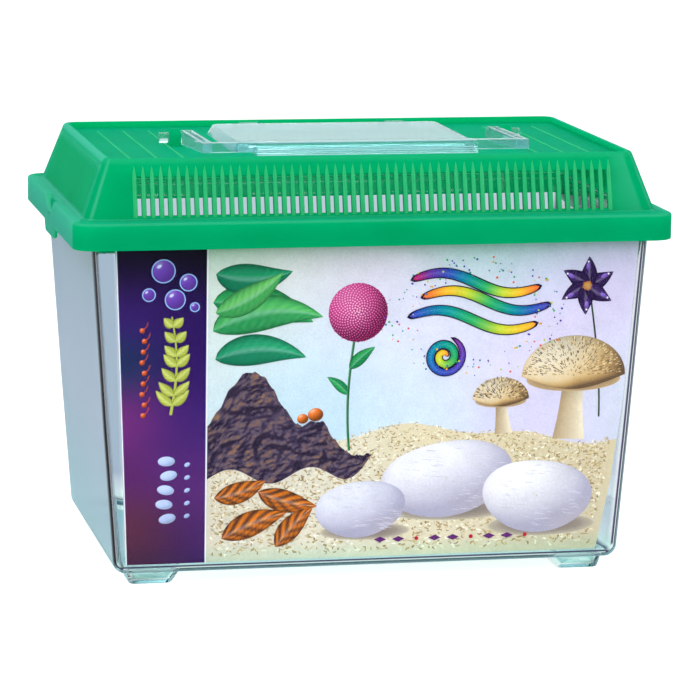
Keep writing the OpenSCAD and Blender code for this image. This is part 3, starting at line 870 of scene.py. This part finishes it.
def print_field(ink):
    """Pastel sky, sandy ground with wood shavings."""
    sky = [(-62, 122, 20, (196, 214, 196)), (-30, 118, 18, (222, 214, 214)), (0, 122, 16, (226, 208, 220)),
           (-45, 85, 18, (214, 226, 224)), (-12, 90, 18, (206, 222, 234)), (15, 100, 18, (222, 214, 234)),
           (40, 122, 16, (176, 214, 206)), (62, 118, 16, (192, 206, 222)), (98, 120, 16, (204, 196, 224)),
           (45, 85, 20, (226, 220, 238)), (80, 92, 18, (216, 200, 230)), (-30, 62, 16, (186, 216, 230)),
           (20, 62, 18, (204, 224, 238)), (60, 62, 18, (212, 204, 232)), (95, 70, 16, (206, 214, 226))]
    band = lambda v: BAND_U
    wash(ink, 26, 44, sky, band, card_right)
    sand = [(-60, 5, 22, (214, 206, 184)), (-20, 30, 24, (226, 220, 200)), (25, 10, 24, (224, 214, 186)),
            (30, 44, 20, (222, 206, 164)), (80, 8, 22, (206, 196, 168)), (90, 40, 20, (216, 200, 160))]
    wash(ink, 12, 60, sand, band, card_right, lambda t: ground_v(BAND_U + 160 * t))
    tones = [(206, 182, 128), (236, 226, 196), (186, 158, 104), (246, 240, 220), (214, 198, 160), (168, 140, 96)]
    r = ink.rnd
    for k in range(5200):
        t = r.random() ** 0.8
        u = r.uniform(BAND_U + 2, 99)
        v = 2 + (ground_v(u) - 1.2) * t
        if u > card_right(v) - 3:
            continue
        near = 1.25 - 0.5 * v / 50
        a, long = r.uniform(0, pi), r.uniform(0.9, 2.3) * near
        bend = r.uniform(-1.3, 1.3)
        path = [(u + long * x * cos(a + bend * x), v + 0.7 * long * x * sin(a + bend * x)) for x in (-0.5, 0, 0.5)]
        c = shade(r.choice(tones), r.uniform(0.82, 1.14))
        wide = r.uniform(0.16, 0.3) * near
        ink.ribbon(path, lambda t: wide * (1.2 - abs(t - 0.5)), c, 1)
        if k % 800 == 799:
            ink.up()
    ink.up()


def print_stones(ink):
    """Dark bark and rocks, with pale round stones in front."""
    r = ink.rnd
    tones = [(38, 30, 48), (66, 54, 78), (92, 80, 100), (118, 92, 84), (168, 122, 78), (206, 170, 128)]

    def high(u, v):
        q = Vector((u * 0.085, v * 0.11, 3.1))
        folds = (1 - abs(noise3(q + Vector((noise3(q * 1.7) * 0.8, 0, 0))))) * 1.1
        return folds + 0.5 * noise3(q * 3.1) + 0.25 * noise3(q * 7.3) + 0.12 * noise3(q * 15)

    def top(u):
        hill = 40 + 34 * exp(-((u + 47) / 17) ** 2) + 11 * exp(-((u + 20) / 7) ** 2)
        return hill + 1.6 * noise3(Vector((u * 0.35, 0, 9))) + 0.6 * noise3(Vector((u * 1.3, 0, 4)))

    def foot_v(u):
        return 33 + 3 * sin(u * 0.2) + (7 * max(0, (u + 14) / 14) ** 2)

    across = [BAND_U + 0.4 + 64 * j / 110 for j in range(111)]
    rows = [[(u, foot_v(u) + max(0, top(u) - foot_v(u)) * i / 84) for u in across] for i in range(85)]

    def rock(i, j, u, v):
        d = 0.35
        gu, gv = (high(u + d, v) - high(u - d, v)) / (2 * d), (high(u, v + d) - high(u, v - d)) / (2 * d)
        n = Vector((-gu * 3.4, -gv * 3.4, 1)).normalized()
        k = lit(*n)
        warm = 0.5 + 0.5 * noise3(Vector((u * 0.06 + 5, v * 0.09, 1.7)))
        c = through(tones, 0.02 + 0.62 * k * k + 0.34 * max(0, warm - 0.45) * k)
        return blend(c, (96, 84, 122), 0.35 * max(0, 0.55 - warm))

    ink.skin(rows, rock).up()
    for u, v, ru, rv, turn, c in ((30, 30, 25, 15.5, 0.1, (236, 234, 238)), (66, 22, 21, 15, -0.12, (240, 238, 238)),
                                  (-4, 19, 17, 11.5, 0.05, (226, 226, 236))):
        ink.blob(u + 2, v - rv * 0.78, ru * 1.05, rv * 0.3,
                 lambda x, y, z, a: blend((214, 204, 176), (128, 116, 110), z), 0, 4, 30).up()
        def stone(x, y, z, a):
            k = lit(x, y, z)
            low = blend((150, 146, 172), c, 0.25 + 0.85 * k)
            return blend(low, (214, 188, 158), 0.35 * max(0, -y) * max(0, x))
        ink.blob(u, v, ru, rv, stone, turn, 9, 40, lambda a: 1 + 0.05 * sin(2 * a + 1) + 0.03 * sin(3 * a)).up()
        for k in range(70):
            a, s = r.uniform(0, 2 * pi), sqrt(r.random()) * 0.86
            pu, pv = u + ru * s * cos(a), v + rv * s * sin(a)
            x = r.uniform(1, 3.2)
            ink.ribbon([(pu, pv), (pu + x, pv + 0.25 * x * r.uniform(-1, 1)), (pu + 2 * x, pv - 0.4)],
                       lambda t: 0.11 * sin(pi * t) + 0.01, shade((206, 202, 214), r.uniform(0.9, 1.3)), 1)
        ink.up()


def print_mushroom(ink, u, v, size, lean=0):
    """A tan mushroom: pale stem, gills in shadow, a domed cap with flecks."""
    r = ink.rnd
    stem = [(u + lean * t * size, v + size * 1.05 * t) for t in steps(10)]
    ink.ribbon(stem, lambda t: size * (0.17 + 0.1 * (1 - t) ** 2),
               lambda t, s: shade(blend((238, 226, 196), (176, 150, 112), 0.5 + 0.5 * s), 1.05 - 0.35 * t ** 3),
               8).up()
    cu, cv = u + lean * size, v + size * 1.05
    gill = lambda x, y, z, a: blend((196, 168, 124), (120, 92, 68), z * (0.6 + 0.4 * sin(30 * a)))
    ink.blob(cu, cv - size * 0.06, size * 0.78, size * 0.2, gill, 0, 5, 60).up()

    def cap(x, y, z, a):
        k = lit(x, y * 0.8 + 0.2, z)
        c = through([(92, 72, 54), (150, 118, 78), (196, 160, 104), (222, 196, 150), (238, 226, 200)], 0.05 + 0.9 * k)
        return blend(c, (104, 110, 104), 0.35 * max(0, y) ** 2)

    low = lambda a: 1 if sin(a) > 0 else 1 / (1 + 1.9 * abs(sin(a)))
    ink.blob(cu, cv, size * 0.86, size * 0.66, cap, 0, 9, 44, low).up()
    for k in range(int(26 * size)):
        a, s = r.uniform(0.05, pi - 0.05), sqrt(r.random()) * 0.93
        pu, pv = cu + size * 0.86 * s * cos(a), cv + size * 0.66 * s * sin(a)
        x = r.uniform(0.5, 1.3)
        c = r.choice([(110, 84, 58), (236, 216, 172), (150, 120, 84), (72, 62, 56), (214, 180, 120)])
        da = atan2(pv - cv, pu - cu)
        ink.ribbon([(pu, pv), (pu + x * cos(da), pv + x * sin(da))], 0.13, c, 1)
    ink.up()


def print_leaves(ink):
    """Broad green leaves at the upper left, autumn leaves at the lower left."""
    for u, v, a, l, w, b, d, f in (
            (-62, 101, 4, 40, 7.5, -34, DEEP, FRESH), (-61, 112, -18, 30, 6, 40, (0, 78, 60), (40, 168, 110)),
            (-62, 90, 30, 44, 7, -50, (0, 104, 66), (110, 206, 104)),
            (-61, 79, 22, 36, 6, -46, (0, 84, 64), (52, 180, 120)),
            (-61, 97, 16, 30, 5, 30, (8, 116, 62), (140, 214, 110))):
        ink.leaf(u, v, a, l, w, d, f, b, 10).up()
    rust, coal = (238, 130, 36), (46, 32, 42)
    for u, v, a, l, w, b in ((-58, 9, 30, 27, 5, -20), (-44, 27, -26, 24, 4.4, 22), (-61, 25, 6, 21, 4.2, 24),
                             (-37, 5, 56, 21, 4.2, -20)):
        ink.leaf(u, v, a, l, w, coal, rust, b, 4.5, 0.8, 0.85).up()
    for u, v, rad in ((-22, 56.5, 2.6), (-27, 55, 1.9)):
        ink.blob(u, v, rad * 1.15, rad, dome((236, 120, 44), 0.5, 0.6), 0.1, 5, 22).up()


def print_blossoms(ink):
    """A round pink flower head of small buds, and a dark blossom with pale marks."""
    cu, cv, rad = -6, 96, 11.5
    ink.ribbon([(-7 - 2.6 * sin(t * 2.4), 88 - 46 * t) for t in steps(12)], 0.5,
               lambda t, s: shade((40, 120, 70), 1 - 0.3 * s), 2)
    ink.leaf(-9, 74, 50, 13, 2.4, DEEP, FRESH, -20, 6)
    ink.leaf(-9.4, 64, 128, 11, 2, DEEP, FRESH, 24, 6).up()
    ink.blob(cu, cv, rad, rad, dome((196, 60, 130), 0.5), 0, 6, 36).up()
    for s, x, y in seeds(420):
        tone = through([(250, 214, 232), (232, 120, 178), (188, 30, 108)], 0.15 + 0.5 * s + 0.3 * (x - y))
        ink.dot(cu + rad * x * 1.02, cv + rad * y * 1.02, 0.34 * (1.15 - 0.5 * s), tone, 7)
    ink.up()
    bu, bv = 84, 104.5
    ink.ribbon([(bu + 1 + 5 * sin(t * 1.6), bv - 2 - 50 * t) for t in steps(12)], 0.35, (48, 70, 52), 1).up()
    for k in range(6):
        a = 20 + 60 * k
        ink.leaf(bu, bv, a, 11.5, 3.3, (22, 12, 36), (74, 44, 120), 16, 3, 0.6)
        t = radians(a + 9)
        ink.up()
        ink.blob(bu + 7.6 * cos(t), bv + 7.6 * sin(t), 1.5, 0.8, dome((132, 96, 196), 0.8), t, 3, 12)
        ink.dot(bu + 9.4 * cos(t), bv + 9.4 * sin(t), 0.4, (240, 236, 250), 8)
    for s, x, y in seeds(26):
        ink.dot(bu + 1.8 * x, bv + 1.8 * y, 0.3, through([(250, 214, 90), (220, 130, 50)], s), 6)
    ink.up()


def print_ornament(ink):
    """Rainbow strokes with dark outlines, confetti, and a plain row of marks below."""
    r = ink.rnd
    hues = [(206, 30, 92), (96, 52, 160), (44, 76, 176), (0, 140, 150), (34, 166, 90), (200, 214, 50), (250, 184, 40),
            (236, 96, 44)]

    def sweep(path, wide, first, last):
        grow = lambda t, w: w * sqrt(max(0, 1 - abs(2 * t - 1) ** 14)) * (0.75 + 0.35 * sin(pi * t))
        ink.ribbon(path, lambda t: grow(t, wide + 0.42), (34, 24, 52), 2).up()
        ink.ribbon(path[1:-1], lambda t: grow(t, wide),
                   lambda t, s: shade(through(hues, first + (last - first) * t), 1.12 - 0.22 * abs(s))).up()

    def wave(u, v, n=46):
        return [(u + 52 * i / n, v - 3 * i / n + 3.4 * sin(2 * pi * i / n)) for i in range(n + 1)]

    sweep(wave(14, 108), 1.7, 0, 1)
    sweep(wave(18, 101), 1.7, 1, 0.2)
    sweep(wave(13, 93.5), 1.7, 0.25, 0.9)
    spiral = [(28 + (0.6 + 0.52 * a) * cos(a), 78 + (0.6 + 0.52 * a) * sin(a)) for a in [0.22 * i for i in range(64)]]
    sweep(spiral, 1.25, 0.95, 0.1)
    for k in range(150):
        a, s = r.uniform(0, 2 * pi), r.uniform(0.75, 1.15)
        ink.dot(40 + 31 * s * cos(a), 93 + 21 * s * sin(a), r.uniform(0.22, 0.48), r.choice(hues[1:]), 6)
    ink.up()
    for k in range(9):
        u = 4 + 7.2 * k
        if k % 3 == 2:
            ink.dot(u, 6.5, 0.8, (190, 40, 52), 12)
        else:
            ink.blob(u, 6.5, 2.5, 1.15, (98, 44, 110), 0, 1, 4)
    ink.up()


def print_band(ink):
    """Dark violet band at the card's left, with bubbles, a lime sprig and orange berries."""
    tones = [(-94, 122, 13, (12, 2, 30)), (-70, 122, 12, (2, 0, 18)), (-92, 98, 11, (56, 26, 106)),
             (-72, 96, 11, (40, 14, 86)), (-92, 78, 8, (12, 52, 76)), (-74, 74, 11, (44, 16, 90)),
             (-92, 56, 11, (120, 44, 116)), (-74, 52, 11, (58, 30, 108)), (-94, 34, 10, (84, 34, 96)),
             (-70, 32, 11, (88, 40, 110)), (-92, 14, 9, (96, 48, 62)), (-84, 4, 9, (66, 34, 66)),
             (-68, 8, 10, (66, 34, 96))]
    wash(ink, 30, 12, tones, card_left, lambda v: BAND_U)
    edge = (236, 238, 244)
    ink.ribbon([(BAND_U, 0), (BAND_U, CARD_H)], 0.28, edge, 1)
    ink.ribbon([(card_left(0) + 0.3, 0), (card_left(CARD_H) + 0.3, CARD_H)], 0.22, edge, 1).up()
    # Bubbles with pale blue rims
    for u, v, rad in ((-81, 113.5, 4.6), (-71.5, 109, 3.4), (-86.5, 104.5, 2.6), (-76.5, 102.5, 4), (-69, 99.5, 1.9)):
        ink.dot(u, v, rad, (150, 190, 236), 32).up()
        ink.blob(u, v, rad - 0.4, rad - 0.4, dome((104, 62, 170), 0.8, 0.3), 0, 4, 32).up()
        ink.blob(u - rad * 0.35, v + rad * 0.4, rad * 0.22, rad * 0.13, (206, 214, 248), 0.6, 1, 12)
    ink.up()
    # Lime sprig
    stem = [(-78 + 2.2 * sin(t * 3), 58 + 38 * t) for t in steps(20)]
    ink.ribbon(stem, lambda t: 0.55 - 0.3 * t, (176, 188, 72), 2).up()
    for k in range(7):
        u, v = stem[2 + int(k * 2.7)]
        for side in (-1, 1):
            ink.leaf(u, v, 90 - side * 58, 8.6 - 0.6 * k, 1.9, (136, 150, 40), (222, 226, 120), side * 22, 4)
    ink.up()
    for k in range(9):
        u, v = -88.5 + 0.5 * sin(k * 2.1), 58 + 4.1 * k
        ink.blob(u, v, 1.05, 1.05, dome((232, 96, 38), 0.6, 0.6), 0, 3, 14)
        ink.ribbon([(u, v), (u + 1.6, v + 1.5), (u + 2.2, v + 3.2)], 0.14, (206, 84, 40), 1)
    ink.up()
    # Pale pebble marks
    for k in range(5):
        u, v = -79.5 + 0.9 * sin(k * 1.7), 40 - 5.6 * k
        ink.blob(u, v, 3.3, 1.9, dome((186, 204, 244), 0.85), 0.2 * sin(k * 2), 4, 20)
        ink.blob(-71.5, 38.5 - 5 * k, 1.2, 0.8, dome((176, 196, 240), 0.85), 0.5, 2, 12)
    ink.up()


INK = Ink(7)
print_field(INK)
print_blossoms(INK)
print_mushroom(INK, 78, 44, 24, 0.06)
print_mushroom(INK, 52, 47, 13, -0.1)
print_stones(INK)
print_leaves(INK)
print_ornament(INK)
print_band(INK)
PRINT = INK.make("card_print", [printed_face()])
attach(PRINT, "base")


# ---- hatch
def hatch():
    seg, cy = 5, HATCH_Y
    z0, z1 = FIELD_Z + 0.2, FIELD_Z + HATCH_H
    under = z1 - 1.5

    def pan(off, z):
        grow = HATCH_LEAN * (z - z0) / (z1 - z0) + 2 * off
        return ring(HATCH_L - grow, HATCH_W - grow, 3 - off, z, seg=seg, cy=cy)

    def middle(z):
        return ring(10, 6, 0, z, seg=seg, cy=cy)

    rows = [pan(*at) for at in (
        (2.6, under), (1.9, under), (1.55, z1 - 1.7), (1.5, z0 + 0.1), (1.3, z0), (0.2, z0), (0, z0 + 0.2),
        (0, z1 - 0.5), (0.12, z1 - 0.15), (0.5, z1), (1.2, z1))]
    base = make("hatch_clear", *loft([middle(under), *rows, middle(z1)], caps=True), [TRIM], 40)

    def part(shape, *args):
        b = Builder()
        getattr(b, shape)(*args)
        return b.make("tmp", [TRIM])

    parts = [part("box", (-THUMB_X, THUMB_Y0, FIELD_Z + THUMB_UP), (THUMB_X, THUMB_Y1, FIELD_Z + THUMB_UP + 1.5))]
    at_hinge = along_x(HINGE_Y, HINGE_Z)
    for hx in (-HINGE_X, HINGE_X):
        parts += [part("prism", circle(1.65, 20), at_hinge, hx - 3.7, hx + 3.7),
                  part("prism", circle(1.3, 16), at_hinge, hx - 6.4, hx + 6.4),
                  part("box", (hx - 3.69, 34.6, HINGE_Z - 0.75), (hx + 3.69, HINGE_Y, HINGE_Z + 0.75))]
    return union(base, parts, 40)


HATCH = hatch()
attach(HATCH, "hatch")
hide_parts("window_hatch")


# ---- handle
def handle():
    """The bail lies folded, tilted a little, and is built around its pivot."""
    tilt = radians(2)

    def place(x, y, z):
        return (x, y * cos(tilt) + z * sin(tilt), PIVOT_Z - y * sin(tilt) + z * cos(tilt))

    def part(shape, *args, name="tmp"):
        b = Builder()
        getattr(b, shape)(*args)
        b.verts = [place(*v) for v in b.verts]
        return b.make(name, [TRIM])

    def arm(sx, name="tmp"):
        """A channel: a floor between two ridges, deeper towards the pivot."""
        x0, x1 = sorted((sx * ARM_X, sx * (ARM_X - ARM_T)))
        rows = []
        for y, h in ((-REACH, 1.85), (-REACH + 5.5, 1.9), (-2, 2.75)):
            rows.append([(x0, y, -h), (x1, y, -h), (x1, y, h), (x1 - 1.15, y, h), (x1 - 1.45, y, h - 0.8),
                         (x0 + 1.45, y, h - 0.8), (x0 + 1.15, y, h), (x0, y, h)])
        verts, faces = loft(rows, caps=True)
        return part("add", verts, [f[::-1] for f in faces], name=name)

    def bar(sx, outline, outer, inner):
        return part("prism", outline, along_x(), *sorted((sx * outer, sx * inner)))

    front = -REACH + 2.75 - 5
    grip = [(front + 0.3, -3.07), (front + 9.9, -3.07), (front + 9.9, 1.83), (front + 0.3, 1.83)]
    for top in (1.2, -0.4, -2):
        grip += [(front + 0.3, top), (front, top - 0.3), (front, top - 0.7), (front + 0.3, top - 1)]
    hubs = [bar(sx, circle(2.8, 24), ARM_X - 0.01, ARM_X - ARM_T + 0.01) for sx in (-1, 1)]
    pins = [bar(sx, circle(2.1, 24), PIN_END, ARM_X - 0.5) for sx in (-1, 1)]
    cross = part("box", (-ARM_X + 0.02, -REACH + 0.01, -1.84), (ARM_X - 0.02, -REACH + 5.5, 1.84))
    return union(arm(-1, "handle_clear"), [arm(1), *hubs, *pins, cross, part("prism", grip, along_x(), -43, 43)], 35)


HANDLE = handle()
bevel(HANDLE, 0.3, 30)
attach(HANDLE, "handle")
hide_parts("carry_handle")


# ---- stage, light, camera
def floor():
    """A pale floor that shows the shadow, and looks plain white in the plastic."""
    m, g = material("studio_floor")
    bounce, shadow = (g.first("BsdfDiffuse", {"Color": (grey, grey, grey, 1)}) for grey in (0.8, 0.46))
    seen = g.first("AddShader", enumerate((shadow, g.first("Emission", {"Strength": 0.74}))))
    skin = g.mix_shaders(g.rays("Is Camera Ray"), bounce, seen)
    g.surface(g.mix_shaders(g.rays("Is Glossy Ray", "Is Transmission Ray"), skin, g.first("Emission")))
    far = 9000
    corners = [(-far, -far, 0), (far, -far, 0), (far, far, 0), (-far, far, 0)]
    ob = make("studio_floor", corners, [(0, 1, 2, 3)], [m], 0)


def world():
    w = bpy.data.worlds.new("studio")
    scene.world = w
    w.use_nodes = True
    g = Nodes(w.node_tree, "OutputWorld")
    dim, white = (g.first("Background", {"Color": (1, 1, 1, 1), "Strength": s}) for s in (0.55, 1))
    g.surface(g.mix_shaders(g.rays("Is Camera Ray", "Is Transmission Ray", "Is Glossy Ray"), dim, white))


def softbox(name, where, aim, size, watts):
    """A lamp turned to a point at the height aim over the middle."""
    l = bpy.data.lights.new(name, "AREA")
    l.shape = "RECTANGLE"
    l.size, l.size_y = size
    l.energy = watts
    o = new_object(name, l)
    o.location = where
    o.rotation_euler = (Vector((0, 0, aim)) - Vector(where)).to_track_quat("-Z", "Y").to_euler()
    o.visible_camera = False


def camera():
    """The photograph's viewpoint, as fitted to the keeper's edges."""
    yaw, pitch, roll = (radians(a) for a in (11.888, 10.024, 0.656))
    fwd = Vector((sin(yaw) * cos(pitch), cos(yaw) * cos(pitch), -sin(pitch)))
    level = Vector((cos(yaw), -sin(yaw), 0))
    plumb = level.cross(fwd)
    right = cos(roll) * level + sin(roll) * plumb
    up = -sin(roll) * level + cos(roll) * plumb
    c = bpy.data.cameras.new("camera")
    c.sensor_width = 36
    c.lens = 190.15
    c.clip_start, c.clip_end = 0.05, 60
    o = new_object("camera", c)
    where = (-0.294782, -1.422773, 0.335437)
    o.matrix_world = Matrix([(*row,) for row in zip(right, up, -fwd, where)] + [(0, 0, 0, 1)])
    bpy.context.scene.camera = o


floor()
world()
softbox("key_left", (-1.3, -0.9, 1.1), 0.1, (1, 1), 15)
softbox("top", (0.1, 0.2, 1.6), 0.1, (1.2, 1), 12)
softbox("back", (-0.3, 1.4, 1.3), 0.1, (1.4, 0.8), 5)
softbox("fill_right", (1.4, -1.2, 0.8), 0.1, (0.9, 0.9), 5)
softbox("front", (0.1, -1.9, 0.75), 0.08, (1.4, 0.8), 10)
camera()

scene.cycles.max_bounces = 24
scene.cycles.transmission_bounces = 24
scene.view_settings.view_transform = "Standard"
